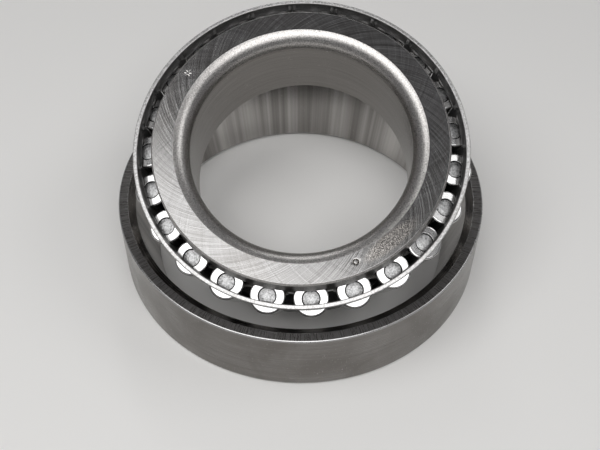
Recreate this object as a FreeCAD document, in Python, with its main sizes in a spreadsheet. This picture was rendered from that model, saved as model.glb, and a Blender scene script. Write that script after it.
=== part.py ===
import FreeCAD, Part
import os
import Sketcher

# A single-row tapered roller bearing: a cup (outer ring), a cone (inner ring), a stamped
# cage and a ring of tapered rollers. All rolling surfaces are cones that share one apex.
# The cup's back face lies on z = 0 with the cup's axis on +Z. The cone, cage and rollers
# are drawn in their seated place, then lifted as one group to where they lean in the cup.

doc = FreeCAD.newDocument("tapered_roller_bearing")

# Driving dimensions, in millimetres and degrees.
sizes = {
    # rings
    "bore_diameter": 57.15,
    "cup_width": 19.446,
    "cup_half_angle": 15.0,
    "cup_mouth_wall": 4.2385,      # cup wall where its race would meet its front face
    "cup_lead_width": 1.72,        # lead-in from the front face down to the race
    "cup_lead_depth": 1.0,
    "cone_wall": 3.42,             # bore to raceway at the rollers' small ends
    "race_lip_front": 1.596,       # cup width beyond the rollers' large ends
    "race_lip_back": 2.0,          # cup width beyond the rollers' small ends
    "large_rib_width": 4.667,
    "large_rib_rise": 2.65,        # rib above the raceway
    "small_rib_width": 3.89,
    "small_rib_rise": 0.9,
    "relief_depth": 0.35,          # grinding relief in the raceway's two corners
    "relief_width": 0.7,
    # edges of the rings
    "cone_back_corner": 3.9,
    "cone_front_chamfer": 0.8,
    "cone_rib_chamfer": 0.4,
    "cup_back_corner": 0.8,
    "cup_front_corner": 0.6,
    "cup_throat_chamfer": 0.9,
    # rollers
    "roller_count": 23,
    "roller_filling": 0.8274,      # roller diameter over roller pitch
    "first_roller_turn": -96.2,    # where the first roller lies round the axis
    "roller_corner": 0.45,
    "roller_recess_diameter": 4.4,
    "roller_recess_depth": 0.25,
    # cage
    "cage_thickness": 1.2,
    "cage_offset": 1.5,            # cage wall outside the rollers' axes
    "cage_rim": 3.3,               # ring beyond the large ends of the windows
    "cage_flange_gap": 1.25,       # flange below the rollers' small ends
    "cage_bend": 0.9,              # inside radius of the bend to the flange
    # clearances
    "race_clearance": 0.03,
    "rib_clearance": 0.03,
    "small_rib_clearance": 0.4,
    "window_side_clearance": 0.15,
    "window_end_clearance": 0.3,
    "cage_cone_clearance": 0.6,
    # how the cone assembly leans in the cup
    "lean_angle": 19.5,
    "lean_axis_rise": 7.5,         # tilting axis above the cup's front face
}

sheet = doc.addObject("Spreadsheet::Sheet", "Sizes")
for row, (alias, number) in enumerate(sizes.items(), start=1):
    sheet.set(f"A{row}", alias)
    sheet.set(f"B{row}", str(number))
    sheet.setAlias(f"B{row}", alias)
doc.recompute()

# Values worked out from the driving dimensions. A corner is a point of a turned section:
# its radius from the axis and its height along the axis.
stack = doc.addObject("App::VarSet", "Stack")


def derive(name, formula):
    stack.addProperty("App::PropertyFloat", name, "Stack")
    stack.setExpression(name, formula)


def corner(name, radius, height):
    derive(name + "_radius", radius)
    derive(name + "_height", height)


# Angles: the rollers fill the same share of their pitch whatever the cup's angle.
derive("filling", "Sizes.roller_filling * sin(180 / Sizes.roller_count)")
derive("roller_half_angle",
       "atan(filling * sin(Sizes.cup_half_angle)"
       " / (1 + filling * cos(Sizes.cup_half_angle))) / 1 deg")
derive("roller_tilt", "Sizes.cup_half_angle - roller_half_angle")
derive("cone_half_angle", "Sizes.cup_half_angle - 2 * roller_half_angle")

# Lengths from the apex, along the lines where the rollers touch the rings.
derive("roller_length",
       "(Sizes.cup_width - Sizes.race_lip_front - Sizes.race_lip_back)"
       " / cos(Sizes.cup_half_angle)")
derive("raceway_small_radius", "Sizes.bore_diameter / 2 + Sizes.cone_wall")
derive("slant_small", "raceway_small_radius / sin(cone_half_angle)")
derive("slant_large", "slant_small + roller_length")

# Heights above the cup's back face.
derive("apex",
       "Sizes.cup_width - Sizes.race_lip_front - slant_large * cos(Sizes.cup_half_angle)")
derive("cone_back",
       "apex + slant_large * cos(cone_half_angle) + Sizes.large_rib_width")
derive("cone_front",
       "apex + slant_small * cos(cone_half_angle) - Sizes.small_rib_width")

# The two raceways are moved off the rollers by the running clearance.
derive("cup_apex", "apex - Sizes.race_clearance / sin(Sizes.cup_half_angle)")
derive("cone_apex", "apex + Sizes.race_clearance / sin(cone_half_angle)")

# Cup section.
derive("race_mouth", "(Sizes.cup_width - cup_apex) * tan(Sizes.cup_half_angle)")
derive("race_throat", "-cup_apex * tan(Sizes.cup_half_angle)")
derive("cup_outside", "race_mouth + Sizes.cup_mouth_wall")
corner("cup_throat", "race_throat", "0")
corner("cup_back", "cup_outside", "0")
corner("cup_front", "cup_outside", "Sizes.cup_width")
corner("cup_lead", "race_mouth + Sizes.cup_lead_width", "Sizes.cup_width")
corner("cup_mouth",
       "(Sizes.cup_width - Sizes.cup_lead_depth - cup_apex) * tan(Sizes.cup_half_angle)",
       "Sizes.cup_width - Sizes.cup_lead_depth")


# Cone section. A raceway corner lies along the raceway and under its surface.
def raceway_corner(name, along, depth):
    corner(name,
           f"({along}) * sin(cone_half_angle) - ({depth}) * cos(cone_half_angle)",
           f"cone_apex + ({along}) * cos(cone_half_angle) + ({depth}) * sin(cone_half_angle)")


# A rib's face is square to the rollers' axes.
def rib_face_corner(name, start, radius):
    corner(name, radius,
           f"{start}_height - ({radius} - {start}_radius) * tan(roller_tilt)")


derive("bore", "Sizes.bore_diameter / 2")
derive("large_face_slant", "slant_large + Sizes.rib_clearance")
derive("small_face_slant", "slant_small - Sizes.small_rib_clearance")
raceway_corner("large_root", "large_face_slant", "0")
raceway_corner("small_root", "small_face_slant", "0")
derive("large_rib_outside", "large_root_radius + Sizes.large_rib_rise")
derive("small_rib_outside", "small_root_radius + Sizes.small_rib_rise")
derive("large_relief_top", "large_root_radius + Sizes.relief_depth")
derive("small_relief_top", "small_root_radius + Sizes.relief_depth")

corner("cone_bore_front", "bore", "cone_front")
corner("cone_rib_front", "small_rib_outside", "cone_front")
rib_face_corner("small_rib_tip", "small_root", "small_rib_outside")
rib_face_corner("small_relief_start", "small_root", "small_relief_top")
raceway_corner("small_relief_floor", "small_face_slant", "Sizes.relief_depth")
raceway_corner("small_relief_end", "slant_small + Sizes.relief_width / 2",
               "Sizes.relief_depth")
raceway_corner("raceway_start", "slant_small + Sizes.relief_width", "0")
raceway_corner("raceway_end", "slant_large - Sizes.relief_width", "0")
raceway_corner("large_relief_start", "slant_large - Sizes.relief_width / 2",
               "Sizes.relief_depth")
raceway_corner("large_relief_floor", "large_face_slant", "Sizes.relief_depth")
rib_face_corner("large_relief_end", "large_root", "large_relief_top")
rib_face_corner("large_rib_tip", "large_root", "large_rib_outside")
corner("cone_rib_back", "large_rib_outside", "cone_back")
corner("cone_bore_back", "bore", "cone_back")

# Roller section, measured from the apex along the roller's own axis.
derive("small_end", "slant_small * cos(roller_half_angle)")
derive("large_end", "slant_large * cos(roller_half_angle)")
corner("roller_small_centre", "0", "small_end")
corner("roller_small_edge", "slant_small * sin(roller_half_angle)", "small_end")
corner("roller_large_edge", "slant_large * sin(roller_half_angle)", "large_end")
corner("recess_edge", "Sizes.roller_recess_diameter / 2", "large_end")
corner("recess_floor", "recess_edge_radius", "large_end - Sizes.roller_recess_depth")
corner("recess_centre", "0", "recess_floor_height")

# Window cutter: the roller's own cone, larger by the window's clearances.
derive("window_low", "small_end - Sizes.window_end_clearance")
derive("window_high", "large_end + Sizes.window_end_clearance")
corner("window_low_centre", "0", "window_low")
corner("window_low_edge",
       "window_low * tan(roller_half_angle) + Sizes.window_side_clearance", "window_low")
corner("window_high_edge",
       "window_high * tan(roller_half_angle) + Sizes.window_side_clearance", "window_high")
corner("window_high_centre", "0", "window_high")


# Cage section. The wall is parallel to the rollers' axes and stands outside them.
def cage_wall_corner(name, along, outward):
    corner(name,
           f"({along}) * sin(roller_tilt) + ({outward}) * cos(roller_tilt)",
           f"apex + ({along}) * cos(roller_tilt) - ({outward}) * sin(roller_tilt)")


def cage_wall_corner_at(name, height, outward):
    corner(name,
           f"({height} - apex) * tan(roller_tilt) + ({outward}) / cos(roller_tilt)",
           height)


derive("cage_outward", "Sizes.cage_offset + Sizes.cage_thickness")
derive("cage_top", "window_high + Sizes.cage_rim")
derive("flange_top", "apex + small_end * cos(roller_tilt) - Sizes.cage_flange_gap")
derive("flange_bottom", "flange_top - Sizes.cage_thickness")
derive("flange_inside", "small_rib_outside + Sizes.cage_cone_clearance")
cage_wall_corner("cage_rim_outer", "cage_top", "cage_outward")
cage_wall_corner("cage_rim_inner", "cage_top", "Sizes.cage_offset")
cage_wall_corner_at("cage_bend_inner", "flange_top", "Sizes.cage_offset")
cage_wall_corner_at("cage_bend_outer", "flange_bottom", "cage_outward")
corner("flange_top_edge", "flange_inside", "flange_top")
corner("flange_bottom_edge", "flange_inside", "flange_bottom")
derive("cage_bend_outside", "Sizes.cage_bend + Sizes.cage_thickness")

# The leaning place: a turn about an axis along X that runs over the near side of the
# cup's mouth. At the lean angle of zero the cone assembly is seated in the cup.
stack.addProperty("App::PropertyPlacement", "lean", "Stack")
stack.setExpression(
    "lean",
    "create(<<placement>>;"
    " create(<<vector>>; 0; -race_mouth; Sizes.cup_width + Sizes.lean_axis_rise);"
    " create(<<rotation>>; create(<<vector>>; 1; 0; 0); Sizes.lean_angle))"
    " * create(<<placement>>;"
    " create(<<vector>>; 0; race_mouth; -Sizes.cup_width - Sizes.lean_axis_rise);"
    " create(<<rotation>>; create(<<vector>>; 1; 0; 0); 0))")
doc.recompute()


def new_body(name):
    body = doc.addObject("PartDesign::Body", name)
    body.Label = name
    return body


def turned_section(body, name, corners):
    """A closed sketch in the body's XZ plane, one bound corner after another."""
    plane = next(item for item in body.Origin.OriginFeatures if item.Role == "XZ_Plane")
    sketch = body.newObject("Sketcher::SketchObject", name)
    sketch.AttachmentSupport = [(plane, "")]
    sketch.MapMode = "FlatFace"
    places = [FreeCAD.Vector(getattr(stack, item + "_radius"),
                             getattr(stack, item + "_height"), 0) for item in corners]
    count = len(corners)
    for index in range(count):
        sketch.addGeometry(Part.LineSegment(places[index], places[(index + 1) % count]), False)
    for index in range(count):
        sketch.addConstraint(
            Sketcher.Constraint("Coincident", index, 2, (index + 1) % count, 1))
    for index, item in enumerate(corners):
        if places[index].x == 0:
            sketch.addConstraint(Sketcher.Constraint("PointOnObject", index, 1, -2))
        else:
            bind(sketch, "DistanceX", index, item + "_radius", places[index].x)
        bind(sketch, "DistanceY", index, item + "_height", places[index].y)
    return sketch


def bind(sketch, kind, index, name, value):
    """Hold one coordinate of a sketch corner at a value of the stack."""
    number = sketch.addConstraint(Sketcher.Constraint(kind, -1, 1, index, 1, value))
    sketch.renameConstraint(number, name)
    sketch.setExpression("Constraints." + name, "Stack." + name)


def revolve(body, name, sketch):
    solid = body.newObject("PartDesign::Revolution", name)
    solid.Profile = (sketch, [""])
    solid.ReferenceAxis = (sketch, ["V_Axis"])
    solid.Angle = 360
    doc.recompute()
    return solid


def rings_at(solid, corners):
    """Names of the round edges that run through the given corners of a section."""
    names = []
    for number, edge in enumerate(solid.Shape.Edges, start=1):
        if not isinstance(edge.Curve, Part.Circle):
            continue
        for item in corners:
            same_radius = abs(edge.Curve.Radius - getattr(stack, item + "_radius")) < 1e-4
            same_height = abs(edge.Curve.Center.z - getattr(stack, item + "_height")) < 1e-4
            if same_radius and same_height:
                names.append(f"Edge{number}")
    return names


def ease(body, name, kind, corners, size):
    """Round (Fillet) or bevel (Chamfer) the edges at some corners of the newest solid."""
    base = body.Tip
    feature = body.newObject("PartDesign::" + kind, name)
    feature.Base = (base, rings_at(base, corners))
    feature.setExpression("Radius" if kind == "Fillet" else "Size", size)
    body.Tip = feature
    doc.recompute()
    return feature


def make_cup():
    cup = new_body("cup")
    section = turned_section(cup, "cup_section", [
        "cup_throat", "cup_back", "cup_front", "cup_lead", "cup_mouth"])
    revolve(cup, "cup_ring", section)
    ease(cup, "cup_back_corner", "Fillet", ["cup_back"], "Sizes.cup_back_corner")
    ease(cup, "cup_front_corner", "Fillet", ["cup_front"], "Sizes.cup_front_corner")
    ease(cup, "cup_throat_bevel", "Chamfer", ["cup_throat"], "Sizes.cup_throat_chamfer")
    return cup


def make_cone():
    cone = new_body("cone")
    section = turned_section(cone, "cone_section", [
        "cone_bore_front", "cone_rib_front", "small_rib_tip", "small_relief_start",
        "small_relief_floor", "small_relief_end", "raceway_start", "raceway_end",
        "large_relief_start", "large_relief_floor", "large_relief_end", "large_rib_tip",
        "cone_rib_back", "cone_bore_back"])
    revolve(cone, "cone_ring", section)
    ease(cone, "cone_back_round", "Fillet", ["cone_bore_back"], "Sizes.cone_back_corner")
    ease(cone, "cone_front_bevel", "Chamfer", ["cone_bore_front"],
         "Sizes.cone_front_chamfer")
    ease(cone, "cone_rib_bevels", "Chamfer", ["cone_rib_back", "cone_rib_front"],
         "Sizes.cone_rib_chamfer")
    cone.setExpression("Placement", "Stack.lean")
    return cone


def make_cage():
    cage = new_body("cage")
    section = turned_section(cage, "cage_section", [
        "flange_bottom_edge", "cage_bend_outer", "cage_rim_outer", "cage_rim_inner",
        "cage_bend_inner", "flange_top_edge"])
    revolve(cage, "cage_shell", section)
    ease(cage, "cage_bend_outside", "Fillet", ["cage_bend_outer"], "Stack.cage_bend_outside")
    shell = ease(cage, "cage_bend_inside", "Fillet", ["cage_bend_inner"], "Sizes.cage_bend")
    cutter = turned_section(cage, "window_section", [
        "window_low_centre", "window_low_edge", "window_high_edge", "window_high_centre"])
    cutter.setExpression(
        "AttachmentOffset",
        "create(<<placement>>; create(<<vector>>; 0; Stack.apex; 0);"
        " create(<<rotation>>; create(<<vector>>; 0; 0; 1); -Stack.roller_tilt))")
    window = cage.newObject("PartDesign::Groove", "cage_window")
    window.Profile = (cutter, [""])
    window.ReferenceAxis = (cutter, ["V_Axis"])
    window.Angle = 360
    cage.Tip = window
    doc.recompute()
    if window.Shape.Volume > shell.Shape.Volume - 1:
        raise RuntimeError("the window cuts nothing from the cage")
    turning_axis = next(item for item in cage.Origin.OriginFeatures if item.Role == "Z_Axis")
    windows = cage.newObject("PartDesign::PolarPattern", "cage_windows")
    windows.Originals = [window]
    windows.Axis = (turning_axis, [""])
    windows.Angle = 360
    windows.setExpression("Occurrences", "Sizes.roller_count")
    cage.Tip = windows
    # The window that the pattern starts from holds the first roller.
    cage.setExpression(
        "Placement",
        "Stack.lean * create(<<placement>>; create(<<vector>>; 0; 0; 0);"
        " create(<<rotation>>; create(<<vector>>; 0; 0; 1); Sizes.first_roller_turn))")
    return cage


def make_roller(number):
    roller = new_body(f"roller_{number:02d}")
    section = turned_section(roller, f"roller_section_{number:02d}", [
        "roller_small_centre", "roller_small_edge", "roller_large_edge", "recess_edge",
        "recess_floor", "recess_centre"])
    revolve(roller, f"roller_turned_{number:02d}", section)
    ease(roller, f"roller_corners_{number:02d}", "Fillet",
         ["roller_small_edge", "roller_large_edge"], "Sizes.roller_corner")
    roller.setExpression(
        "Placement",
        "Stack.lean * create(<<placement>>; create(<<vector>>; 0; 0; Stack.apex);"
        " create(<<rotation>>; create(<<vector>>; 0; 0; 1);"
        f" Sizes.first_roller_turn + {number - 1} * 360 / Sizes.roller_count))"
        " * create(<<placement>>; create(<<vector>>; 0; 0; 0);"
        " create(<<rotation>>; create(<<vector>>; 0; 1; 0); Stack.roller_tilt))")
    return roller


pieces = [make_cup(), make_cone(), make_cage()]
pieces += [make_roller(number) for number in range(1, sizes["roller_count"] + 1)]
doc.recompute()

for item in doc.Objects:
    if "Invalid" in item.State or "Error" in item.State:
        raise RuntimeError(f"{item.Name} failed: {item.State}")
for piece in pieces:
    shape = piece.Shape
    if shape.isNull() or not shape.isValid() or len(shape.Solids) != 1:
        raise RuntimeError(f"{piece.Label} is not one sound solid")

os.makedirs("parts", exist_ok=True)
for piece in pieces:
    piece.Shape.exportStep(f"parts/{piece.Label}.step")

print(f"outside diameter {2 * stack.cup_outside:.3f}")
print(f"assembled width {stack.cone_back:.3f}")
print(f"cone width {stack.cone_back - stack.cone_front:.3f}")
print(f"roller {2 * stack.roller_large_edge_radius:.3f} by {stack.roller_length:.3f}")
print(f"apex {stack.apex:.3f}, cone back centre {stack.lean.multVec(FreeCAD.Vector(0, 0, stack.cone_back))}")
print(f"lean centre {stack.lean.multVec(FreeCAD.Vector(0, 0, 0))}")
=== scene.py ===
import math
import bpy
import numpy as np
from mathutils import Matrix


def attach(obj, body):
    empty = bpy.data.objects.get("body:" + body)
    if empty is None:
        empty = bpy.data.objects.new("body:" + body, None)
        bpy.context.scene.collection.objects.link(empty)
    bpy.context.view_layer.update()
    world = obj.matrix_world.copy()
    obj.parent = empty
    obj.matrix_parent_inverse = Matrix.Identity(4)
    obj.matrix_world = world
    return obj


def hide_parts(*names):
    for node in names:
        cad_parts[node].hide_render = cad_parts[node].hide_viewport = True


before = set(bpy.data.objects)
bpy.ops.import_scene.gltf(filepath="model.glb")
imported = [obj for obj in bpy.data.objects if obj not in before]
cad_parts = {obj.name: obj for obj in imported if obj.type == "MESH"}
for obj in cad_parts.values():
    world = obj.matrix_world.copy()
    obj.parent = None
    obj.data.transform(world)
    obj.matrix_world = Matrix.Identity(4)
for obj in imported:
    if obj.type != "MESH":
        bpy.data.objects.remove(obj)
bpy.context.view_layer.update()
print("frame loaded:", len(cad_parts), "nodes")

# Lengths are in millimetres and angles in degrees until a mesh is written.
metre = 0.001
rng = np.random.default_rng(7)

# What the rings, rollers and cage share: cones with one apex on the bearing's axis.
bearing = {
    "bore": 57.15,
    "cupWidth": 19.446,
    "cupHalfAngle": 15.0,
    "coneWall": 3.42,
    "raceLipFront": 1.596,
    "raceLipBack": 2.0,
    "rollers": 23,
    "rollerFilling": 0.8274,
    "firstRoller": -96.2,
    "raceClearance": 0.03,
    "ribClearance": 0.03,
    "leanAngle": 19.5,
    "leanAxisRise": 7.5,
}

# The sine of a roller's half angle is the row's filling times the sine of its axis's tilt, and the
# two angles add up to the cup's. Slants run from the apex along the race.
cupHalf = math.radians(bearing["cupHalfAngle"])
filling = bearing["rollerFilling"] * math.sin(math.pi / bearing["rollers"])
rollerHalf = math.atan(filling * math.sin(cupHalf) / (1 + filling * math.cos(cupHalf)))
rollerTilt = cupHalf - rollerHalf
coneHalf = cupHalf - 2 * rollerHalf
rollerLength = (bearing["cupWidth"] - bearing["raceLipFront"] - bearing["raceLipBack"]) / math.cos(cupHalf)
slantSmall = (bearing["bore"] / 2 + bearing["coneWall"]) / math.sin(coneHalf)
slantLarge = slantSmall + rollerLength
apex = bearing["cupWidth"] - bearing["raceLipFront"] - slantLarge * math.cos(cupHalf)
cupApex = apex - bearing["raceClearance"] / math.sin(cupHalf)
coneApex = apex + bearing["raceClearance"] / math.sin(coneHalf)
raceMouth = (bearing["cupWidth"] - cupApex) * math.tan(cupHalf)
smallEnd = slantSmall * math.cos(rollerHalf)
largeEnd = slantLarge * math.cos(rollerHalf)


# A four by four matrix that moves points by (x, y, z).
def shifted(x, y, z):
    m = np.eye(4)
    m[:3, 3] = (x, y, z)
    return m


# A four by four matrix that turns points about one axis: the cosine goes on the diagonal, and
# the sine and its negative beside it.
def turned(axis, angle):
    c, s = math.cos(angle), math.sin(angle)
    m = np.eye(4)
    i, j = {"x": (1, 2), "y": (2, 0), "z": (0, 1)}[axis]
    m[i, i] = m[j, j] = c
    m[i, j], m[j, i] = -s, s
    return m


# The cup stands upright. The cone, cage and rollers lean about a line along x that passes above
# the near edge of the race's mouth.
leanRise = bearing["cupWidth"] + bearing["leanAxisRise"]
leaning = (shifted(0, -raceMouth, leanRise) @ turned("x", math.radians(bearing["leanAngle"]))
           @ shifted(0, raceMouth, -leanRise))
upright = np.eye(4)


# Finish masks that every outline point carries: ground face, rolling surface, and edge, which is worn and,
# on the rings and cage, also carries a painted highlight.
plain, ground, race = (0, 0, 0), (1, 0, 0), (0, 1, 0)


# How a corner is rounded: the points on its arc, and the gap to one more point on each side, a
# share of the rounding and a little more, held under a most and under a share of the side.
softCorner = {
    "arcPoints": 5,
    "gapShare": 0.2,
    "gapLeast": 0.02,
    "gapMost": 0.12,
    "sideShare": 0.3,
}


# A line through corners (radius, height, rounding, finish of the side that follows).
# A corner becomes an arc: its centre lies on the bisector, and it touches both sides.
# Returns complex points, radius + height j, and one row of finish masks for each.
def softOutline(corners, closed=True):
    spots = np.array([complex(c[0], c[1]) for c in corners])
    count = len(corners)
    points, masks = [], []
    for i in range(count):
        here, after = spots[i], np.array(corners[i][3], float)
        before = np.array(corners[i - 1][3], float)
        if not closed and i in (0, count - 1):
            points.append(here)
            masks.append(after if i == 0 else before)
            continue
        toLast, toNext = spots[i - 1] - here, spots[(i + 1) % count] - here
        roomLast, roomNext = abs(toLast), abs(toNext)
        toLast, toNext = toLast / roomLast, toNext / roomNext
        between = abs(np.angle(toNext / toLast))
        rounding = corners[i][2]
        reach = rounding / math.tan(between / 2)
        centre = here + (toLast + toNext) / abs(toLast + toNext) * rounding / math.sin(between / 2)
        first, last = here + toLast * reach - centre, here + toNext * reach - centre
        sweep = np.angle(last / first)
        share = np.linspace(0, 1, softCorner["arcPoints"])
        arc = centre + first * np.exp(1j * sweep * share)
        # the edge mask peaks in the middle of the arc: wear and a painted highlight on the rounded corner
        wornAndHighlit = np.sin(np.pi * share)[:, None] * np.array([0, 0, 1.0])
        mixed = before * (1 - share[:, None]) + after * share[:, None] + wornAndHighlit
        gap = min(softCorner["gapMost"], softCorner["gapShare"] * rounding + softCorner["gapLeast"])
        gapLast = min(gap, softCorner["sideShare"] * roomLast)
        gapNext = min(gap, softCorner["sideShare"] * roomNext)
        points.append(arc[0] + toLast * gapLast)
        masks.append(before)
        points.extend(arc)
        masks.extend(mixed)
        points.append(arc[-1] + toNext * gapNext)
        masks.append(after)
    return np.array(points), np.array(masks, float)


# Four-cornered faces of a grid whose point (row, column) has the number row x columns + column.
def gridFaces(rows, columns, wrapRows, wrapColumns):
    r = np.arange(rows if wrapRows else rows - 1)
    c = np.arange(columns if wrapColumns else columns - 1)
    r, c = np.meshgrid(r, c, indexing="ij")
    r1, c1 = (r + 1) % rows, (c + 1) % columns
    quads = np.stack([r * columns + c, r1 * columns + c, r1 * columns + c1, r * columns + c1], -1)
    return quads.reshape(-1, 4)


# Writes points given in the piece's own frame, in millimetres, as a mesh in the row frame.
# A face list mixes fours and threes; own place, finish and piece number go in as attributes.
def writePiece(name, own, faces, masks, place, body, node, material, number=0.0):
    mesh = bpy.data.meshes.new(name)
    world = (own @ place[:3, :3].T + place[:3, 3]) * metre
    quads, threes = faces
    corners = np.concatenate([quads.ravel(), threes.ravel()]).astype(np.int32)
    sizes = np.concatenate([np.full(len(quads), 4), np.full(len(threes), 3)]).astype(np.int32)
    starts = np.concatenate([[0], np.cumsum(sizes)[:-1]]).astype(np.int32)
    mesh.vertices.add(len(world))
    mesh.vertices.foreach_set("co", world.astype(np.float32).ravel())
    mesh.loops.add(len(corners))
    mesh.loops.foreach_set("vertex_index", corners)
    mesh.polygons.add(len(sizes))
    mesh.polygons.foreach_set("loop_start", starts)
    mesh.polygons.foreach_set("loop_total", sizes)
    mesh.update(calc_edges=True)
    mesh.validate()
    mesh.polygons.foreach_set("use_smooth", np.ones(len(mesh.polygons), bool))
    for title, kind, values in (("own", "FLOAT_VECTOR", own), ("finish", "FLOAT_VECTOR", masks),
                                ("number", "FLOAT", np.full(len(own), number))):
        layer = mesh.attributes.new(title, kind, "POINT")
        layer.data.foreach_set("vector" if kind == "FLOAT_VECTOR" else "value",
                               np.asarray(values, np.float32).ravel())
    piece = bpy.data.objects.new(name, mesh)
    bpy.context.scene.collection.objects.link(piece)
    mesh.materials.append(material)
    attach(piece, body)
    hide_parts(node)
    return piece


# Carries an outline round the axis: x and y are the radius times the cosine and sine.
def turnOutline(points, angles):
    radius, height = points.real[None, :], points.imag[None, :]
    c, s = np.cos(angles)[:, None], np.sin(angles)[:, None]
    return np.stack([radius * c, radius * s, height + 0 * c], -1).reshape(-1, 3)


# For pieces whose faces all have four corners.
noThrees = np.zeros((0, 3), int)


# A shader node group with named float or vector inputs and outputs.
def newGroup(name, inputs, outputs):
    tree = bpy.data.node_groups.new(name, "ShaderNodeTree")
    for title, kind, value in inputs:
        socket = tree.interface.new_socket(title, in_out="INPUT", socket_type="NodeSocket" + kind)
        if value is not None:
            socket.default_value = value
    for title, kind in outputs:
        tree.interface.new_socket(title, in_out="OUTPUT", socket_type="NodeSocket" + kind)
    return tree, tree.nodes.new("NodeGroupInput"), tree.nodes.new("NodeGroupOutput")


# Adds one node; an input is a number, or the socket that feeds it.
def addNode(tree, kind, inputs=None, **settings):
    node = tree.nodes.new("ShaderNode" + kind)
    for title, value in settings.items():
        setattr(node, title, value)
    for key, value in (inputs or {}).items():
        if isinstance(value, bpy.types.NodeSocket):
            tree.links.new(value, node.inputs[key])
        else:
            node.inputs[key].default_value = value
    return node


# One Math node over the values.
def sums(tree, operation, *values):
    return addNode(tree, "Math", dict(enumerate(values)), operation=operation).outputs[0]


# The product of the values.
def times(tree, first, second, *more):
    product = sums(tree, "MULTIPLY", first, second)
    return times(tree, product, *more) if more else product


# Maps low to high onto toLow to toHigh along a straight line, and holds the ends.
def ranged(tree, value, low, high, toLow=0.0, toHigh=1.0):
    node = addNode(tree, "MapRange", {0: value, 1: low, 2: high, 3: toLow, 4: toHigh})
    node.clamp = True
    return node.outputs[0]


# Mixes two numbers, each a value or a socket.
def between(tree, factor, first, second):
    return addNode(tree, "Mix", {0: factor, 2: first, 3: second}, data_type="FLOAT").outputs[0]


# Mixes two colours, each a tuple or a socket.
def blended(tree, factor, first, second):
    node = addNode(tree, "Mix", data_type="RGBA")
    for socket, value in ((node.inputs[0], factor), (node.inputs[6], first), (node.inputs[7], second)):
        if isinstance(value, bpy.types.NodeSocket):
            tree.links.new(value, socket)
        else:
            socket.default_value = value
    return node.outputs[2]


# A steel colour: warm moves it from neutral towards brown.
def grey(value, warm=0.0):
    return (value * (1 + warm), value, value * (1 - warm), 1.0)


# The place moved along the axis to height nought.
def flattened(tree, vector):
    parts = addNode(tree, "SeparateXYZ", {0: vector}).outputs
    return addNode(tree, "CombineXYZ", {0: parts[0], 1: parts[1]}).outputs[0]


# Distance from the axis: the length of the flattened place.
def radiusOf(tree, vector):
    return addNode(tree, "VectorMath", {0: flattened(tree, vector)}, operation="LENGTH").outputs["Value"]


# Direction round the axis: the flattened place as a unit vector.
def aroundOf(tree, vector):
    return addNode(tree, "VectorMath", {0: flattened(tree, vector)}, operation="NORMALIZE").outputs[0]


# Fine rings left by turning or grinding: noise over radius and height, drifting slowly around.
def makeTurnedLines():
    tree, given, result = newGroup("turnedLines", [("Own", "Vector", None), ("Lines", "Float", 6.0),
                                                   ("Drift", "Float", 0.05)],
                                   [("Shade", "Float"), ("Height", "Float")])
    parts = addNode(tree, "SeparateXYZ", {0: given.outputs["Own"]}).outputs
    fine = addNode(tree, "CombineXYZ", {
        0: times(tree, radiusOf(tree, given.outputs["Own"]), given.outputs["Lines"]),
        1: times(tree, parts[2], given.outputs["Lines"]),
        2: times(tree, parts[0], given.outputs["Drift"])})
    drift = times(tree, parts[1], given.outputs["Drift"])
    noise = addNode(tree, "TexNoise", {"Vector": fine.outputs[0], "W": drift, "Scale": 1.0,
                                       "Detail": 4.0, "Roughness": 0.7}, noise_dimensions="4D")
    tree.links.new(ranged(tree, noise.outputs[0], 0.3, 0.7), result.inputs["Shade"])
    tree.links.new(noise.outputs[0], result.inputs["Height"])
    return tree


# Fine strokes that run across the ring or at a slant: noise over the direction round the axis,
# which is turned on by Slant radians for each millimetre of radius.
def makeCrossTicks():
    tree, given, result = newGroup("crossTicks", [("Own", "Vector", None), ("Ticks", "Float", 200.0),
                                                  ("Slant", "Float", 0.0), ("Length", "Float", 0.3)],
                                   [("Shade", "Float"), ("Height", "Float")])
    radius, around = radiusOf(tree, given.outputs["Own"]), aroundOf(tree, given.outputs["Own"])
    angle = times(tree, radius, given.outputs["Slant"])
    spun = addNode(tree, "VectorRotate", {"Vector": around, "Angle": angle}, rotation_type="Z_AXIS")
    wide = addNode(tree, "VectorMath", {0: spun.outputs[0]}, operation="SCALE")
    tree.links.new(given.outputs["Ticks"], wide.inputs["Scale"])
    split = addNode(tree, "SeparateXYZ", {0: wide.outputs[0]})
    where = addNode(tree, "CombineXYZ", {0: split.outputs[0], 1: split.outputs[1],
                                         2: times(tree, radius, given.outputs["Length"])})
    noise = addNode(tree, "TexNoise", {"Vector": where.outputs[0], "Scale": 1.0, "Detail": 3.0,
                                       "Roughness": 0.65})
    tree.links.new(ranged(tree, noise.outputs[0], 0.32, 0.68), result.inputs["Shade"])
    tree.links.new(noise.outputs[0], result.inputs["Height"])
    return tree


# Grain of an unground or sheared surface: noise, with specks that stand a little lower.
def makeGrain():
    tree, given, result = newGroup("grain", [("Own", "Vector", None), ("Size", "Float", 3.0),
                                             ("Number", "Float", 0.0)],
                                   [("Shade", "Float"), ("Height", "Float")])
    coarse = addNode(tree, "TexNoise", {"Vector": given.outputs["Own"], "W": given.outputs["Number"],
                                        "Scale": given.outputs["Size"], "Detail": 5.0,
                                        "Roughness": 0.75}, noise_dimensions="4D")
    cells = addNode(tree, "TexVoronoi", {"Vector": given.outputs["Own"],
                                         "Scale": times(tree, given.outputs["Size"], 0.9)})
    specks = ranged(tree, cells.outputs["Distance"], 0.05, 0.22, 1.0, 0.0)
    tree.links.new(ranged(tree, coarse.outputs[0], 0.3, 0.7), result.inputs["Shade"])
    tree.links.new(sums(tree, "ADD", coarse.outputs[0], times(tree, specks, -0.25)),
                   result.inputs["Height"])
    return tree


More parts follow.
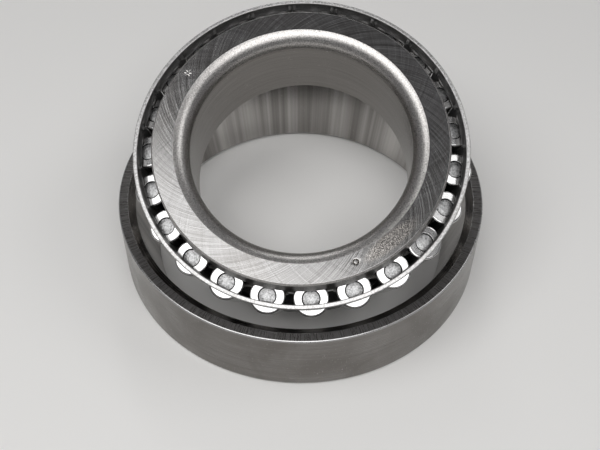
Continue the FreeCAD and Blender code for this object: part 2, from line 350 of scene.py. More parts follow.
# Oil film, fingermarks and dust: soft wide blotches, and small scattered spots.
def makeHandling():
    tree, given, result = newGroup("handling", [("Own", "Vector", None), ("Blotch", "Float", 0.08),
                                                ("Number", "Float", 0.0)],
                                   [("Film", "Float"), ("Spots", "Float")])
    film = addNode(tree, "TexNoise", {"Vector": given.outputs["Own"], "W": given.outputs["Number"],
                                      "Scale": given.outputs["Blotch"], "Detail": 3.0,
                                      "Distortion": 1.2}, noise_dimensions="4D")
    spots = addNode(tree, "TexNoise", {"Vector": given.outputs["Own"], "Scale": 2.6, "Detail": 2.0})
    dust = ranged(tree, spots.outputs[0], 0.66, 0.74)
    tree.links.new(ranged(tree, film.outputs[0], 0.38, 0.66), result.inputs["Film"])
    tree.links.new(times(tree, dust, ranged(tree, film.outputs[0], 0.45, 0.6)),
                   result.inputs["Spots"])
    return tree


turnedLines = makeTurnedLines()
crossTicks = makeCrossTicks()
grain = makeGrain()
handling = makeHandling()


# A material under construction: its tree, its shader and sockets for the piece's own attributes.
class steelFinish:

    # Sets up the shader. The finish attribute holds the ground, race and edge masks.
    def __init__(self, name, **sockets):
        self.material = bpy.data.materials.new(name)
        self.material.use_nodes = True
        self.tree = self.material.node_tree
        self.tree.nodes.clear()
        output = self.tree.nodes.new("ShaderNodeOutputMaterial")
        self.shader = addNode(self.tree, "BsdfPrincipled", sockets)
        self.tree.links.new(self.shader.outputs[0], output.inputs[0])
        self.own = addNode(self.tree, "Attribute", attribute_name="own").outputs["Vector"]
        self.number = addNode(self.tree, "Attribute", attribute_name="number").outputs["Fac"]
        masks = addNode(self.tree, "Attribute", attribute_name="finish").outputs["Vector"]
        self.ground, self.race, self.edge = addNode(self.tree, "SeparateXYZ", {0: masks}).outputs

    # Puts a shared group in this material, with its own values.
    def place(self, group, **values):
        node = self.tree.nodes.new("ShaderNodeGroup")
        node.node_tree = group
        self.tree.links.new(self.own, node.inputs["Own"])
        for title, value in values.items():
            if isinstance(value, bpy.types.NodeSocket):
                self.tree.links.new(value, node.inputs[title])
            else:
                node.inputs[title].default_value = value
        return node.outputs

    # Links a socket to one of the shader's inputs.
    def feed(self, title, socket):
        self.tree.links.new(socket, self.shader.inputs[title])

    # Turns a height into the shader's normal. The distance is in millimetres.
    def bump(self, height, strength, distance=0.02):
        node = addNode(self.tree, "Bump", {"Strength": strength, "Distance": distance * metre,
                                           "Height": height})
        self.feed("Normal", node.outputs[0])


# The cup, or outer ring.
cup = {
    "mouthWall": 4.2385,
    "leadWidth": 1.72,
    "leadDepth": 1.0,
    "backCorner": 0.8,
    "frontCorner": 0.5,
    "leadCorner": 0.22,
    "throatChamfer": 0.9,
    "throatCorner": 0.15,
    "around": 384,
}


# Steel of the cup: brushed front face, honed race with broad streaks of painted reflection, ground and
# polished outside.
def makeCupSteel():
    steel = steelFinish("cupSteel", Metallic=1.0)
    tree = steel.tree
    rings = steel.place(turnedLines, Lines=5.0, Drift=0.03)
    ticks = steel.place(crossTicks, Ticks=190.0, Length=0.2)
    marks = steel.place(handling, Blotch=0.07, Number=3.0)
    reflectionStreaks = steel.place(crossTicks, Ticks=9.0, Length=0.015)
    outside = blended(tree, rings["Shade"], grey(0.16, 0.06), grey(0.27, 0.04))
    outside = blended(tree, times(tree, marks["Film"], 0.5), outside, grey(0.12, 0.10))
    face = blended(tree, ticks["Shade"], grey(0.20, 0.06), grey(0.31, 0.03))
    # Painted reflection: broad light and dark streaks along the race stand in for the surroundings that it
    # mirrors.
    rolling = blended(tree, reflectionStreaks["Shade"], grey(0.18, 0.05), grey(0.50, 0.03))
    colour = blended(tree, steel.ground, outside, face)
    colour = blended(tree, steel.race, colour, rolling)
    # Paler edges: partly wear, partly a painted highlight along the rounded corners.
    colour = blended(tree, times(tree, steel.edge, 0.75), colour, grey(0.72))
    colour = blended(tree, times(tree, marks["Spots"], 0.5), colour, grey(0.70, 0.02))
    steel.feed("Base Color", colour)
    smooth = ranged(tree, rings["Shade"], 0, 1, 0.20, 0.30)
    smooth = sums(tree, "ADD", smooth, times(tree, marks["Film"], 0.10))
    rough = ranged(tree, ticks["Shade"], 0, 1, 0.25, 0.33)
    roughness = between(tree, steel.ground, smooth, rough)
    roughness = between(tree, steel.race, roughness, 0.16)
    steel.feed("Roughness", roughness)
    ridges = sums(tree, "ADD", times(tree, rings["Height"], 0.35),
                  times(tree, ticks["Height"], steel.ground, 0.4))
    steel.bump(ridges, 0.35)
    return steel.material


# The cup is one closed outline carried round its axis. Its race lies on a cone from the cup's apex,
# so a radius there is the height above the apex times the tangent of the cup's angle.
def makeCup():
    outside = raceMouth + cup["mouthWall"]
    width = bearing["cupWidth"]
    slope = math.tan(cupHalf)
    throat = -cupApex * slope
    bevel = cup["throatChamfer"]
    points, masks = softOutline([
        (throat + bevel, 0, cup["throatCorner"], ground),
        (outside, 0, cup["backCorner"], plain),
        (outside, width, cup["frontCorner"], ground),
        (raceMouth + cup["leadWidth"], width, cup["leadCorner"], plain),
        ((width - cup["leadDepth"] - cupApex) * slope, width - cup["leadDepth"], cup["leadCorner"], race),
        (throat + bevel * slope, bevel, cup["throatCorner"], plain),
    ])
    angles = np.linspace(0, 2 * np.pi, cup["around"], endpoint=False)
    own = turnOutline(points, angles)
    faces = gridFaces(len(angles), len(points), True, True)
    return writePiece("cup_ring", own, (faces, noThrees), np.tile(masks, (len(angles), 1)), upright,
                      "cup", "cup", cupSteel)


# The cone, or inner ring. Its raceway lies on a cone from the apex. A punch mark has a radius, a
# turn and a size; the etched patch has a radius, a turn, half a width and half a length.
cone = {
    "largeRibWidth": 4.667,
    "largeRibRise": 2.65,
    "smallRibWidth": 3.89,
    "smallRibRise": 0.9,
    "smallRibClearance": 0.4,
    "reliefDepth": 0.35,
    "reliefWidth": 0.7,
    "backCorner": 3.9,
    "crease": 0.14,
    "creaseCorner": 0.05,
    "roundRows": 24,
    "ribBevel": 0.42,
    "frontBevel": 0.8,
    "fineCorner": 0.1,
    "around": 360,
    "boreFade": (0.045, 0.325),
    "ringMark": (34.75, -61.4, 0.88),
    "ringShare": 0.72,
    "ringWidth": 0.15,
    "starMark": (35.5, 152.0, 0.95),
    "strokeTurns": (0, 60, 120),
    "strokeStart": 0.35,
    "strokeWidth": 0.14,
    "strokeDepth": 0.45,
    "markDepth": 0.11,
    "markMargin": 0.2,
    "markReach": 0.024,
    "markColumns": 24,
    "faceStart": 0.3,
    "faceStep": 0.4,
    "markStep": 0.1,
    "patch": (34.6, -44.5, 2.3, 8.8),
}


# Where the etched patch lies: in an oval on the ground face, square to the radius at its turn.
def patchMask(steel):
    radius, turn, halfWide, halfLong = cone["patch"]
    tree = steel.tree
    turnedBack = addNode(tree, "Mapping", {"Vector": steel.own, "Rotation": (0, 0, math.radians(-turn))})
    place = addNode(tree, "SeparateXYZ", {0: turnedBack.outputs[0]}).outputs
    across = sums(tree, "DIVIDE", sums(tree, "SUBTRACT", place[0], radius), halfWide)
    along = sums(tree, "DIVIDE", place[1], halfLong)
    oval = sums(tree, "ADD", sums(tree, "POWER", across, 2.0), sums(tree, "POWER", along, 2.0))
    return times(tree, ranged(tree, oval, 0.45, 1.1, 1.0, 0.0), steel.ground)


# Colour of the ground back face: two slanted hatches, brighter scratches, a film of oil, and the
# etched patch with its pale and dark grain.
def hatchedFace(steel, strokes, hatch, film):
    tree = steel.tree
    face = blended(tree, strokes, grey(0.13, 0.04), grey(0.54, 0.01))
    scratched = times(tree, ranged(tree, hatch, 0.72, 0.95), ranged(tree, film, 0.2, 0.7))
    face = blended(tree, times(tree, scratched, 0.45), face, grey(0.85, 0.01))
    face = blended(tree, times(tree, film, 0.35), face, grey(0.17, 0.08))
    etched = steel.place(grain, Size=2.8)
    bitten = blended(tree, ranged(tree, etched["Shade"], 0.3, 0.7), grey(0.06, 0.12), grey(0.80, 0.06))
    return blended(tree, times(tree, patchMask(steel), 0.85), face, bitten)


# Steel of the cone: cross-hatched ground face, unground grainy round, ground bore and raceway.
# A rolling surface lies off the ground faces, and a punch mark lies on one, with a painted highlight on its
# shallow shoulders and painted shade in its deep core.
def makeConeSteel():
    steel = steelFinish("coneSteel", Metallic=1.0)
    tree = steel.tree
    rings = steel.place(turnedLines, Lines=4.0, Drift=0.04)
    hatch = steel.place(crossTicks, Ticks=115.0, Slant=0.04, Length=0.08)
    counter = steel.place(crossTicks, Ticks=80.0, Slant=-0.028, Length=0.07)
    marks = steel.place(handling, Blotch=0.05, Number=8.0)
    rough = steel.place(grain, Size=3.2)
    dent = times(tree, steel.ground, steel.race)
    rolling = sums(tree, "SUBTRACT", steel.race, dent)
    boreStart, boreEnd = (bearing["bore"] / 2 + fade for fade in cone["boreFade"])
    inBore = ranged(tree, radiusOf(tree, steel.own), boreStart, boreEnd, 1.0, 0.0)
    strokes = sums(tree, "ADD", times(tree, hatch["Shade"], 0.72), times(tree, counter["Shade"], 0.28))
    unground = blended(tree, rough["Shade"], grey(0.13, 0.05), grey(0.88, 0.03))
    bore = blended(tree, rings["Shade"], grey(0.17, 0.07), grey(0.27, 0.05))
    colour = blended(tree, inBore, unground, bore)
    colour = blended(tree, steel.ground, colour, hatchedFace(steel, strokes, hatch["Shade"], marks["Film"]))
    colour = blended(tree, rolling, colour, grey(0.45, 0.02))
    # Painted highlight on the shallow shoulders of a punch mark, then painted shade in its deep core.
    colour = blended(tree, ranged(tree, dent, 0.12, 0.4, 0.0, 0.35), colour, grey(0.62, 0.05))
    colour = blended(tree, ranged(tree, dent, 0.47, 0.65, 0.0, 0.95), colour, grey(0.04, 0.25))
    # Paler edges: partly wear, partly a painted highlight along the rounded corners.
    colour = blended(tree, times(tree, steel.edge, 0.5), colour, grey(0.66))
    colour = blended(tree, times(tree, marks["Spots"], 0.6), colour, grey(0.74, 0.02))
    steel.feed("Base Color", colour)
    roughness = between(tree, inBore, ranged(tree, rough["Shade"], 0, 1, 0.24, 0.42), 0.27)
    roughness = between(tree, steel.ground, roughness, ranged(tree, strokes, 0, 1, 0.15, 0.27))
    steel.feed("Roughness", between(tree, rolling, roughness, 0.18))
    masked = sums(tree, "MAXIMUM", inBore, sums(tree, "ADD", steel.ground, steel.race))
    offFace = sums(tree, "SUBTRACT", 1.0, masked)
    ridges = sums(tree, "ADD", times(tree, rings["Height"], 0.3),
                  times(tree, hatch["Height"], steel.ground, 0.8))
    ridges = sums(tree, "ADD", ridges, times(tree, rough["Height"], offFace, 2.6))
    steel.bump(ridges, 0.4)
    return steel.material


# A point along the raceway from the apex and under its surface: along times the sine and cosine
# of the raceway's angle, less the depth square to it.
def onRaceway(along, depth=0.0):
    s, c = math.sin(coneHalf), math.cos(coneHalf)
    return along * s - depth * c, coneApex + along * c + depth * s


# A point of a rib's face, which is square to the rollers' axes: its height falls with the radius by
# the tangent of their tilt.
def onRibFace(root, radius):
    return radius, root[1] - (radius - root[0]) * math.tan(rollerTilt)


# Depth of the two punch marks at points (x, y) of the face. The ring is a bell curve of the
# distance to a circle; the star is three crossed strokes, bell curves of the distance to a line.
def markedDepth(x, y):
    radius, turn, size = cone["ringMark"]
    a = math.radians(turn)
    far = np.hypot(x - radius * math.cos(a), y - radius * math.sin(a))
    depth = np.exp(-((far - size * cone["ringShare"]) / cone["ringWidth"]) ** 2)
    radius, turn, size = cone["starMark"]
    a = math.radians(turn)
    u, v = x - radius * math.cos(a), y - radius * math.sin(a)
    far = np.hypot(u, v)
    inStar = (far < size) * (far > cone["strokeStart"] * size)
    for stroke in np.radians(cone["strokeTurns"]):
        across = u * math.sin(stroke) - v * math.cos(stroke)
        depth += cone["strokeDepth"] * np.exp(-(across / cone["strokeWidth"]) ** 2) * inStar
    return cone["markDepth"] * np.minimum(depth, 1)


# Angles round a ring, even but crowded near the given spots.
def crowdedAngles(count, spots, reach, extra):
    even = np.linspace(-np.pi, np.pi, count, endpoint=False)
    parts = [even[np.all([np.abs(even - s) > reach for s in spots], axis=0)]]
    parts += [np.linspace(s - reach, s + reach, extra) for s in spots]
    return np.sort(np.concatenate(parts))


# The round between back face and bore: an arc a little flatter than a quarter circle, so that it
# meets both at a crease. Its radius is the chord over twice the sine of half its sweep.
def backRound(bore, back):
    rounded, half = cone["backCorner"], np.pi / 4 - cone["crease"]
    radius = rounded * math.sqrt(2) / (2 * math.sin(half))
    chord = bore + rounded / 2 + 1j * (back - rounded / 2)
    hub = chord + np.exp(-0.25j * np.pi) * radius * math.cos(half)
    share = np.linspace(half, -half, cone["roundRows"])
    return hub + radius * np.exp(1j * (0.75 * np.pi - share))


# The cone's outline, from the bore over the small rib, raceway, large rib and back face to the
# round, as complex points with their finish masks.
def coneOutline(back):
    largeFace = slantLarge + bearing["ribClearance"]
    smallFace = slantSmall - cone["smallRibClearance"]
    largeRoot, smallRoot = onRaceway(largeFace), onRaceway(smallFace)
    largeRib, smallRib = largeRoot[0] + cone["largeRibRise"], smallRoot[0] + cone["smallRibRise"]
    front = apex + slantSmall * math.cos(coneHalf) - cone["smallRibWidth"]
    bore, deep, wide = bearing["bore"] / 2, cone["reliefDepth"], cone["reliefWidth"]
    bevel, lip, fine = cone["frontBevel"], cone["ribBevel"], cone["fineCorner"]
    arc = backRound(bore, back)
    points, masks = softOutline([
        (bore, front + 2 * bevel, 0, plain),
        (bore, front + bevel, fine, plain),
        (bore + bevel, front, fine, ground),
        (smallRib, front, lip, plain),
        (*onRibFace(smallRoot, smallRib), fine, ground),
        (*onRibFace(smallRoot, smallRoot[0] + deep), fine, plain),
        (*onRaceway(smallFace, deep), fine, plain),
        (*onRaceway(slantSmall + wide / 2, deep), fine, plain),
        (*onRaceway(slantSmall + wide), fine, race),
        (*onRaceway(slantLarge - wide), fine, plain),
        (*onRaceway(slantLarge - wide / 2, deep), fine, plain),
        (*onRaceway(largeFace, deep), fine, plain),
        (*onRibFace(largeRoot, largeRoot[0] + deep), fine, ground),
        (*onRibFace(largeRoot, largeRib), lip, plain),
        (largeRib, back - lip, fine, plain),
        (largeRib - lip, back, fine, ground),
        (arc[0].real, back, cone["creaseCorner"], plain),
        (arc[1].real, arc[1].imag, 0, plain),
    ], closed=False)
    entrance = bore + 1j * (arc[-1].imag - fine)
    points = np.concatenate([points, arc[2:], [entrance, entrance - 1j * fine]])
    return points, np.concatenate([masks, np.zeros((len(arc), 3))])


# More rows in the back face's widest gap, close together where the punch marks are.
def withFaceRows(points, masks, back):
    onFace = np.flatnonzero(np.abs(points.imag - back) < 1e-9)
    onFace = onFace[np.argsort(-points[onFace].real)]
    widest = np.diff(points[onFace].real).argmin()
    outer, inner = points[onFace[widest]].real, points[onFace[widest + 1]].real
    marks = (cone["ringMark"], cone["starMark"])
    low = min(radius - size for radius, turn, size in marks) - cone["markMargin"]
    high = max(radius + size for radius, turn, size in marks) + cone["markMargin"]
    radii = np.concatenate([np.arange(outer - cone["faceStart"], high, -cone["faceStep"]),
                            np.arange(high, low, -cone["markStep"]),
                            np.arange(low, inner + cone["markStep"], -cone["faceStep"])])
    after = onFace[widest] + 1
    points = np.insert(points, after, radii + 1j * back)
    return points, np.insert(masks, after, np.tile(np.array(ground, float), (len(radii), 1)), axis=0)


# The cone is its outline carried round the axis, with the punch marks pressed into the back face.
def makeCone():
    back = apex + slantLarge * math.cos(coneHalf) + cone["largeRibWidth"]
    points, masks = withFaceRows(*coneOutline(back), back)
    spots = [math.radians(cone[mark][1]) for mark in ("ringMark", "starMark")]
    angles = crowdedAngles(cone["around"], spots, cone["markReach"], cone["markColumns"])
    own = turnOutline(points, angles)
    onTop = np.abs(own[:, 2] - back) < 1e-6
    every = np.tile(masks, (len(angles), 1))
    every[onTop, 1] = markedDepth(own[onTop, 0], own[onTop, 1]) / cone["markDepth"]
    own[onTop, 2] -= every[onTop, 1] * cone["markDepth"]
    faces = gridFaces(len(angles), len(points), True, True)
    return writePiece("cone_ring", own, (faces, noThrees), every, leaning,
                      "cone", "cone", coneSteel)


# The rollers, each turned about its own axis from the apex. The large end's recess has a shallow
# groove round a floor that rises to its middle; the grain's number steps from roller to roller.
roller = {
    "corner": 0.5,
    "fineCorner": 0.05,
    "recessDiameter": 4.7,
    "recessDepth": 0.22,
    "moatDepth": 0.22,
    "moatWidth": 0.32,
    "moatFade": (-0.01, 0.07),
    "crown": 0.14,
    "crownMiddle": 1.3,
    "crownShare": 0.5,
    "crownCorner": 0.3,
    "around": 72,
    "numberStep": 3.7,
}


# Steel of the rollers: polished end ring and side, matt grainy floor in the end's recess, with a painted
# highlight at its middle and painted shade in its groove.
def makeRollerSteel():
    steel = steelFinish("rollerSteel", Metallic=1.0)
    tree = steel.tree
    rings = steel.place(turnedLines, Lines=7.0, Drift=0.2)
    rough = steel.place(grain, Size=2.2, Number=steel.number)
    marks = steel.place(handling, Blotch=0.3, Number=steel.number)
    polished = blended(tree, rings["Shade"], grey(0.62, 0.01), grey(0.80, 0.005))
    polished = blended(tree, times(tree, marks["Film"], 0.3), polished, grey(0.36, 0.03))
    floor = blended(tree, ranged(tree, rough["Shade"], 0.2, 0.8), grey(0.12, 0.01), grey(0.62, 0.0))
    radius = radiusOf(tree, steel.own)
    # Painted highlight: the recess floor is paler towards its middle, where the crown catches the light.
    floor = blended(tree, ranged(tree, radius, 0.2, 1.4, 0.25, 0.0), floor, grey(0.7))
    moatInside = roller["recessDiameter"] / 2 - roller["moatWidth"]
    moatStart, moatEnd = (moatInside + fade for fade in roller["moatFade"])
    # Painted shade: the groove round the recess floor is painted near black.
    grooveShade = times(tree, steel.race, ranged(tree, radius, moatStart, moatEnd))
    floor = blended(tree, grooveShade, floor, grey(0.02))
    colour = blended(tree, steel.race, polished, floor)
    colour = blended(tree, times(tree, steel.edge, 0.2), colour, grey(0.5))
    steel.feed("Base Color", colour)
    smooth = ranged(tree, rings["Shade"], 0, 1, 0.14, 0.18)
    matt = ranged(tree, rough["Shade"], 0, 1, 0.32, 0.5)
    steel.feed("Roughness", between(tree, steel.race, smooth, matt))
    steel.bump(times(tree, rough["Height"], steel.race, 3.5), 0.35)
    return steel.material


# One roller is an outline carried round its axis, with a fan of triangles at each end. The row is
# that roller tilted by its axis's angle and turned by even steps round the bearing's axis.
def makeRollers():
    slope = math.tan(rollerHalf)
    rim, floor = roller["recessDiameter"] / 2, largeEnd - roller["recessDepth"]
    fine, crown = roller["fineCorner"], roller["crown"]
    points, masks = softOutline([
        (0, smallEnd, 0, plain),
        (smallEnd * slope, smallEnd, roller["corner"], plain),
        (largeEnd * slope, largeEnd, roller["corner"], plain),
        (rim, largeEnd, fine, race),
        (rim - fine, floor - roller["moatDepth"], fine, race),
        (rim - roller["moatWidth"], floor, fine, race),
        (rim * roller["crownShare"], floor + crown, roller["crownCorner"], race),
        (0, floor + crown * roller["crownMiddle"], 0, race),
    ], closed=False)
    count = roller["around"]
    angles = np.linspace(0, 2 * np.pi, count, endpoint=False)
    inner = points[1:-1]
    own = np.concatenate([turnOutline(inner, angles), [[0, 0, points[0].imag], [0, 0, points[-1].imag]]])
    width = len(inner)
    quads = gridFaces(count, width, True, False)
    here = np.arange(count)
    after = (here + 1) % count
    bottom, top = count * width, count * width + 1
    threes = np.concatenate([
        np.stack([np.full(count, bottom), after * width, here * width], -1),
        np.stack([here * width + width - 1, after * width + width - 1, np.full(count, top)], -1)])
    every = np.concatenate([np.tile(masks[1:-1], (count, 1)), masks[:1], masks[-1:]])
    pitch = 360 / bearing["rollers"]
    for i in range(bearing["rollers"]):
        spot = math.radians(bearing["firstRoller"] + i * pitch)
        place = leaning @ shifted(0, 0, apex) @ turned("z", spot) @ turned("y", rollerTilt)
        name = f"roller_{i + 1:02d}"
        writePiece(name + "_turned", own, (quads, threes), every, place, name, name,
                   rollerSteel, number=i * roller["numberStep"])


# The cage: a pressed cone of sheet round the rollers' axes, with one window for each roller. The
# wall goes a little below and above the windows, to the flange and the rim.
cage = {
    "thickness": 1.2,
    "offset": 1.5,
    "rim": 3.3,
    "wallBelow": 0.24,
    "wallAbove": 0.7,
    "flangeGap": 1.25,
    "bend": 0.5,
    "coneClearance": 0.6,
    "sideClearance": 0.15,
    "endClearance": 0.3,
    "edge": 0.16,
    "edgeMargin": 0.15,
    "sheetEdge": 0.28,
    "halfWindow": 4.1,
    "windowCorner": 0.8,
    "shearWave": 0.035,
    "waveCounts": (7, 19, 31, 53, 83),
    "waveTurn": 6.28,
    "waveLeast": 0.3,
}

sheetInside = cage["offset"]
sheetOutside = cage["offset"] + cage["thickness"]
windowLow, windowHigh = smallEnd - cage["endClearance"], largeEnd + cage["endClearance"]
wallLow, wallHigh = windowLow - cage["wallBelow"], windowHigh + cage["wallAbove"]


# Steel of the cage: dark pressed sheet, with pale grainy sheared edges.
def makeCageSteel():
    steel = steelFinish("cageSteel", Metallic=0.85)
    tree = steel.tree
    rough = steel.place(grain, Size=2.2)
    fine = steel.place(grain, Size=1.7)
    marks = steel.place(handling, Blotch=0.12, Number=5.0)
    sheet = blended(tree, rough["Shade"], grey(0.085, 0.02), grey(0.19, 0.01))
    sheet = blended(tree, times(tree, marks["Film"], 0.5), sheet, grey(0.24, 0.02))
    sheared = blended(tree, ranged(tree, fine["Shade"], 0.1, 0.8), grey(0.36, 0.03), grey(0.92, 0.01))
    colour = blended(tree, steel.ground, sheet, sheared)
    colour = blended(tree, times(tree, steel.race, 0.6), colour, grey(0.33, 0.02))
    # Paler edges and bends: partly wear, partly a painted highlight along the rounded corners.
    colour = blended(tree, times(tree, steel.edge, 0.3), colour, grey(0.45, 0.02))
    steel.feed("Base Color", colour)
    steel.feed("Roughness", ranged(tree, fine["Shade"], 0, 1, 0.32, 0.55))
    ridges = sums(tree, "ADD", rough["Height"],
                  times(tree, fine["Height"], steel.ground))
    steel.bump(ridges, 0.5, 0.04)
    return steel.material


# A point of the cage's wall: so far from the apex along a roller's axis, so far out from it.
def onCageWall(along, outward):
    s, c = math.sin(rollerTilt), math.cos(rollerTilt)
    return along * s + outward * c, apex + along * c - outward * s


# Half the angle that a window takes on the wall: there the roller's cone, wider by its clearance,
# meets the wall's circle. The circle drops from its tangent by an amount that depends on the angle,
# so five rounds bring the two together.
def windowHalfAngle(along, outward):
    around = along * math.sin(rollerTilt) + outward * math.cos(rollerTilt)
    reach = along * math.tan(rollerHalf) + cage["sideClearance"]
    angle = np.zeros_like(along)
    for _ in range(5):
        inward = outward - around * (1 - np.cos(angle)) * math.cos(rollerTilt)
        angle = np.arcsin(np.sqrt(reach ** 2 - inward ** 2) / around)
    return angle


# The window's outline as two shares from -1 to 1, across and along, with rounded corners,
# and the matching points of the square that it is cut from.
def windowShares(halfWide, halfLong):
    cx, cy = cage["windowCorner"] / halfWide, cage["windowCorner"] / halfLong
    quarter = np.linspace(0, np.pi / 2, 7)
    across = np.linspace(-(1 - cx), 1 - cx, 7)[1:-1]
    along = np.linspace(-(1 - cy), 1 - cy, 11)[1:-1]
    corner = np.stack([1 - cx + cx * np.cos(quarter), 1 - cy + cy * np.sin(quarter)], -1)
    spread = np.linspace(0, 2, 7)
    square = np.stack([1 - cx * np.clip(spread - 1, 0, 1), 1 - cy * np.clip(1 - spread, 0, 1)], -1)
    flipX, flipY = np.array([-1, 1]), np.array([1, -1])
    right = np.stack([np.ones(len(along)), along], -1)
    top = np.stack([across[::-1], np.ones(len(across))], -1)
    shape = [right, corner, top, (corner * flipX)[::-1], right[::-1] * flipX, corner * -1,
             top[::-1] * flipY, (corner * flipY)[::-1]]
    frameOf = [right, square, top, (square * flipX)[::-1], right[::-1] * flipX, square * -1,
               top[::-1] * flipY, (square * flipY)[::-1]]
    return np.concatenate(shape), np.concatenate(frameOf)


# Rows across the sheet at a window: from the outer face over a rounded edge, down the window's
# wall and over the inner edge. Each says how far outside the window and how deep in the sheet.
def sheetRows():
    edge, thick = cage["edge"], cage["thickness"]
    turn = np.linspace(0, np.pi / 2, 4)
    over = np.stack([edge * (1 - np.sin(turn)), edge * (1 - np.cos(turn))], -1)
    under = np.stack([over[::-1, 0], thick - over[::-1, 1]], -1)
    far = edge + cage["edgeMargin"]
    return np.concatenate([[[far, 0]], over, [[0, thick * 0.5]], under, [[far, thick]]])


# One window's cell of the wall: rows from its border over the outer face, through the window and
# back over the inner face. Returns points and masks by row, and the angles of its upper border.
def windowCell():
    middle, halfLong = (windowLow + windowHigh) / 2, (windowHigh - windowLow) / 2
    shape, square = windowShares(cage["halfWindow"], halfLong)
    rows = sheetRows()
    growth, depth = rows[:, 0][:, None], rows[:, 1][:, None]
    outward = sheetOutside - depth + 0 * shape[:, 0]
    along = middle + shape[:, 1] * (halfLong + growth)
    wall = along * math.sin(rollerTilt) + outward * math.cos(rollerTilt)
    angle = shape[:, 0] * (windowHalfAngle(along, outward) + growth / wall)
    borderAlong = np.where(square[:, 1] > 0, middle + square[:, 1] * (wallHigh - middle),
                           middle + square[:, 1] * (middle - wallLow))
    borderAngle = square[:, 0] * (math.pi / bearing["rollers"])
    # the border and a row half way to it, on the outer and then the inner face
    along = np.concatenate([[borderAlong], [(borderAlong + along[0]) / 2], along,
                            [(borderAlong + along[-1]) / 2], [borderAlong]])
    angle = np.concatenate([[borderAngle], [(borderAngle + angle[0]) / 2], angle,
                            [(borderAngle + angle[-1]) / 2], [borderAngle]])
    outward = np.concatenate([outward[:1], outward[:1], outward, outward[-1:], outward[-1:]])
    radius, height = onCageWall(along, outward)
    cells = np.stack([radius * np.cos(angle), radius * np.sin(angle), height], -1)
    # punched rows leave out the border, the half way row, the margin and the first row of the edge
    masks = np.zeros(cells.shape)
    masks[4:-4, :, 1] = 1
    return cells, masks, np.unique(borderAngle[square[:, 1] > 1 - 1e-9])


# The rim above the windows, as an outline that starts and ends on the wall.
def rimOutline():
    top, edge = windowHigh + cage["rim"], cage["sheetEdge"]
    return softOutline([
        (*onCageWall(wallHigh, sheetOutside), 0, plain),
        (*onCageWall(top, sheetOutside), edge, ground),
        (*onCageWall(top, sheetInside), edge, plain),
        (*onCageWall(wallHigh, sheetInside), 0, plain)], closed=False)


# The flange below the windows, bent inwards from the wall towards the cone's small rib.
def flangeOutline():
    edge, lean = cage["sheetEdge"], math.tan(rollerTilt)
    top = apex + smallEnd * math.cos(rollerTilt) - cage["flangeGap"]
    low = top - cage["thickness"]
    smallFace = slantSmall - cone["smallRibClearance"]
    inside = onRaceway(smallFace)[0] + cone["smallRibRise"] + cage["coneClearance"]
    innerBend = (top - apex) * lean + sheetInside / math.cos(rollerTilt)
    outerBend = (low - apex) * lean + sheetOutside / math.cos(rollerTilt)
    return softOutline([
        (*onCageWall(wallLow, sheetInside), 0, plain),
        (innerBend, top, cage["bend"], plain),
        (inside, top, edge, ground),
        (inside, low, edge, plain),
        (outerBend, low, cage["bend"] + cage["thickness"], plain),
        (*onCageWall(wallLow, sheetOutside), 0, plain)], closed=False)


# The cage is one window's cell with its stretch of rim and flange, turned to each roller in turn.
# Points that lie together become one, so that the sheet is closed.
def makeCage():
    cells, cellMasks, borderAngles = windowCell()
    parts, masks = [cells.reshape(-1, 3)], [cellMasks.reshape(-1, 3)]
    faces, used = [gridFaces(*cells.shape[:2], False, True)], len(parts[0])
    for points, finish in (rimOutline(), flangeOutline()):
        parts.append(turnOutline(points, borderAngles))
        masks.append(np.tile(finish, (len(borderAngles), 1)))
        faces.append(gridFaces(len(borderAngles), len(points), False, False) + used)
        used += len(parts[-1])
    pitch, masks, faces = np.concatenate(parts), np.concatenate(masks), np.concatenate(faces)
    count = bearing["rollers"]
    turns = np.radians(bearing["firstRoller"]) + np.arange(count) * 2 * np.pi / count
    c, s = np.cos(turns)[:, None], np.sin(turns)[:, None]
    own = np.stack([pitch[:, 0] * c - pitch[:, 1] * s, pitch[:, 0] * s + pitch[:, 1] * c,
                    pitch[:, 2] + 0 * c], -1).reshape(-1, 3)
    faces = (faces[None] + np.arange(count)[:, None, None] * used).reshape(-1, 4)
    masks = np.tile(masks, (count, 1))
    _, first, same = np.unique(np.round(own, 4), axis=0, return_index=True, return_inverse=True)
    own, masks, faces = own[first], masks[first], same.ravel()[faces]
    # the rim's sheared edge is a little uneven: a sum of waves round the axis, on its top points only
    around = np.arctan2(own[:, 1], own[:, 0])
    waves = sum(np.sin(n * around + rng.uniform(0, cage["waveTurn"])) * rng.uniform(cage["waveLeast"], 1)
                for n in cage["waveCounts"])
    own[:, 2] += cage["shearWave"] * waves / 2 * masks[:, 0] * (own[:, 2] > bearing["cupWidth"])
    return writePiece("cage_pressed", own, (faces, noThrees), masks, leaning,
                      "cage", "cage", cageSteel)


# The finishes come first, since every piece takes one.
cupSteel, coneSteel = makeCupSteel(), makeConeSteel()
rollerSteel, cageSteel = makeRollerSteel(), makeCageSteel()
print("finishes made")

makeCup()
makeCone()
makeRollers()
makeCage()
print("pieces made")


# Floor, lights and camera, in metres. A light has a name, a place, a spot that it is aimed at, a
# width, a depth and watts.
studio = {
    "floorSize": 6.0,
    "floorColour": (0.86, 0.85, 0.83, 1.0),
    "floorRough": 0.7,
    "skyLow": (0.15, 0.15, 0.155, 1.0),
    "skyHigh": (0.13, 0.13, 0.135, 1.0),
    "lightUp": (0.45, 0.89, 0.05),
    "lights": [
        ("overhead", (-0.058, -0.308, 0.62), (-0.053, -0.288, 0.0), 1.00, 0.50, 4.0),
        ("backBox", (-0.15, 0.85, 0.62), (0.0, 0.0, 0.03), 0.40, 0.12, 0.6),
        ("sideFill", (0.50, 0.12, 0.60), (0.0, 0.0, 0.03), 0.25, 0.45, 0.7),
    ],
}
camera = {
    "place": (0.01794, -0.17763, 0.22164),
    "forward": (-0.0642, 0.6312, -0.7729),
    "up": (-0.0879, 0.7679, 0.6345),
    "lens": 60.0,
    "sensor": 36.0,
    "sees": (0.01, 20.0),
}


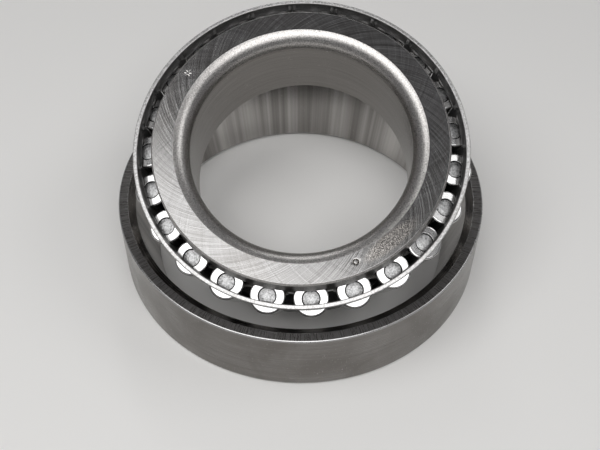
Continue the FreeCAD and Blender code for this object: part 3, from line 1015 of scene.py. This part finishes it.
# A matrix that looks along forward: right is the cross product of forward and the given up, and
# the true up is that of right and forward.
def looking(place, forward, up):
    ahead = np.array(forward, float) / np.linalg.norm(forward)
    right = np.cross(ahead, up)
    right /= np.linalg.norm(right)
    m = np.eye(4)
    m[:3, 0], m[:3, 1], m[:3, 2], m[:3, 3] = right, np.cross(right, ahead), -ahead, place
    return Matrix(m.tolist())


# A square at height nought, with its corners half its size from the middle along x and y.
def makeFloor():
    half = studio["floorSize"] / 2
    corners = [(-half, -half, 0), (half, -half, 0), (half, half, 0), (-half, half, 0)]
    mesh = bpy.data.meshes.new("floor")
    mesh.from_pydata(corners, [], [(0, 1, 2, 3)])
    floor = bpy.data.objects.new("floor", mesh)
    bpy.context.scene.collection.objects.link(floor)
    material = bpy.data.materials.new("paleFloor")
    material.use_nodes = True
    shader = material.node_tree.nodes["Principled BSDF"]
    shader.inputs["Base Color"].default_value = studio["floorColour"]
    shader.inputs["Roughness"].default_value = studio["floorRough"]
    mesh.materials.append(material)


# Soft boxes aimed at their spots, under a dim sky that runs from one grey to another with height.
def makeLights():
    for name, place, aim, width, depth, watts in studio["lights"]:
        lamp = bpy.data.lights.new(name, "AREA")
        lamp.shape, lamp.size, lamp.size_y, lamp.energy = "RECTANGLE", width, depth, watts
        holder = bpy.data.objects.new(name, lamp)
        bpy.context.scene.collection.objects.link(holder)
        holder.matrix_world = looking(place, np.subtract(aim, place), studio["lightUp"])
    world = bpy.data.worlds.new("studio")
    bpy.context.scene.world = world
    world.use_nodes = True
    tree = world.node_tree
    direction = addNode(tree, "TexCoord").outputs["Generated"]
    rise = addNode(tree, "SeparateXYZ", {0: direction}).outputs[2]
    colour = blended(tree, ranged(tree, rise, 0.0, 0.9), studio["skyLow"], studio["skyHigh"])
    tree.links.new(colour, tree.nodes["Background"].inputs["Color"])


# The camera, and the plain Standard view of colours.
def makeCamera():
    data = bpy.data.cameras.new("camera")
    data.lens, data.sensor_width = camera["lens"], camera["sensor"]
    data.clip_start, data.clip_end = camera["sees"]
    holder = bpy.data.objects.new("camera", data)
    bpy.context.scene.collection.objects.link(holder)
    holder.matrix_world = looking(camera["place"], camera["forward"], camera["up"])
    bpy.context.scene.camera = holder
    bpy.context.scene.view_settings.view_transform = "Standard"


makeFloor()
makeLights()
makeCamera()
print("stage set")
